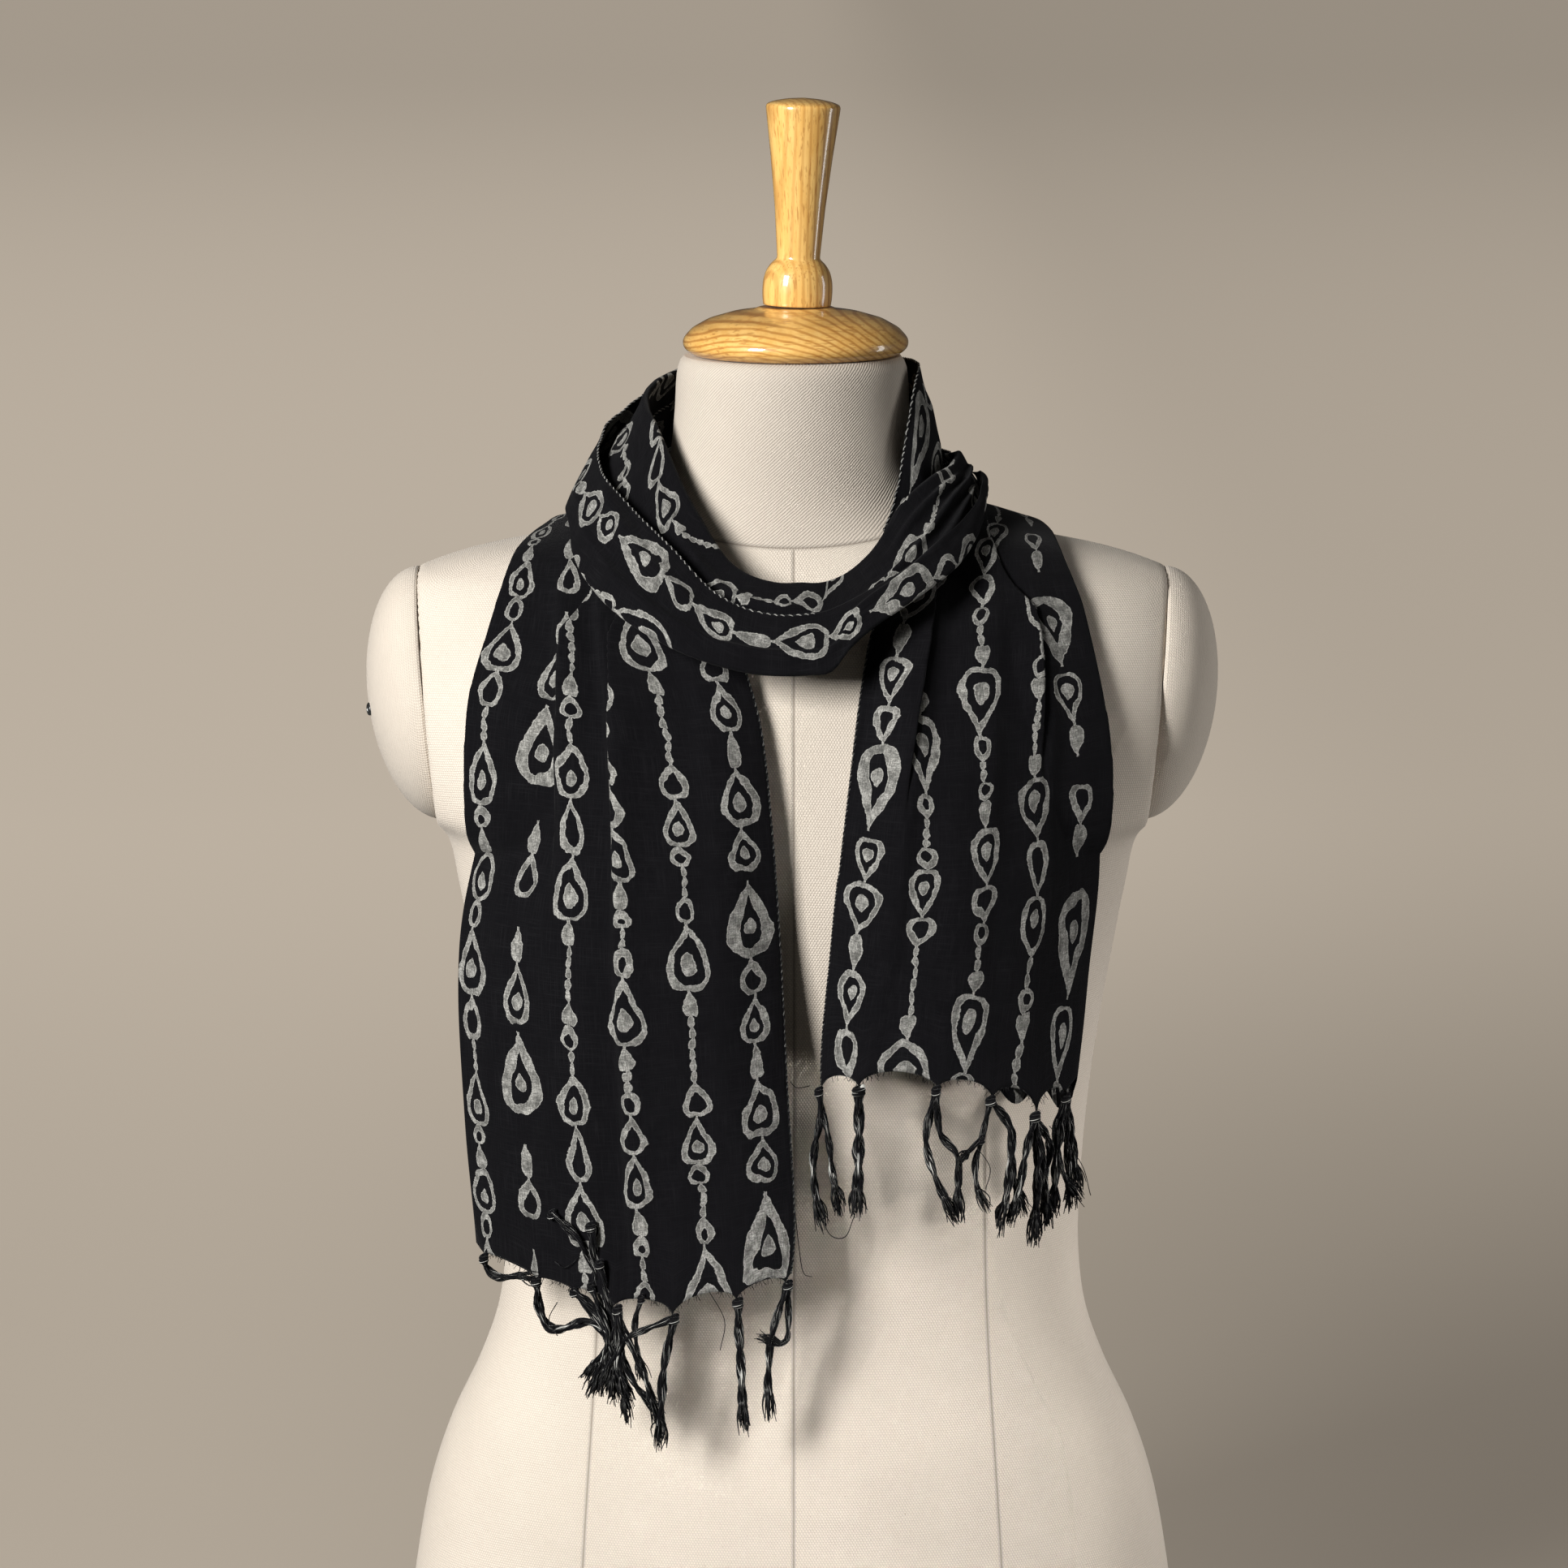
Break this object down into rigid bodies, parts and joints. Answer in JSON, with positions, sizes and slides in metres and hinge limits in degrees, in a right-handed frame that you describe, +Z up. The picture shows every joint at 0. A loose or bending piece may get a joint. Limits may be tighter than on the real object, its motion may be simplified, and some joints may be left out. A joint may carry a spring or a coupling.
{
  "type": "stole on a limbless dress form",
  "caption": "Thin cotton stole with tasselled ends wound once round the neck of a limbless dress form, a cowl at the front and both ends hanging.",
  "frame": {"origin": "on the form's upright axis, in the plane of its flat base", "axes": "+Z up, -Y out of the form's front, +X towards the viewer's right when facing the front"},
  "size_m": [0.4018, 0.2605, 0.7834],
  "materials": {
    "canvas": "matte woven canvas",
    "wood": "gloss varnish",
    "cotton": "matte printed cotton"
  },
  "bodies": {
    "root": {"torso": "canvas", "arm_cap_left": "canvas", "arm_cap_right": "canvas", "neck_plate": "wood", "cap_handle": "wood", "tail_left": "cotton", "tail_right": "cotton", "loop_front": "cotton", "neck_band_lower": "cotton", "neck_band_upper": "cotton", "fringe_left": "cotton", "fringe_right": "cotton"}
  },
  "joints": []
}
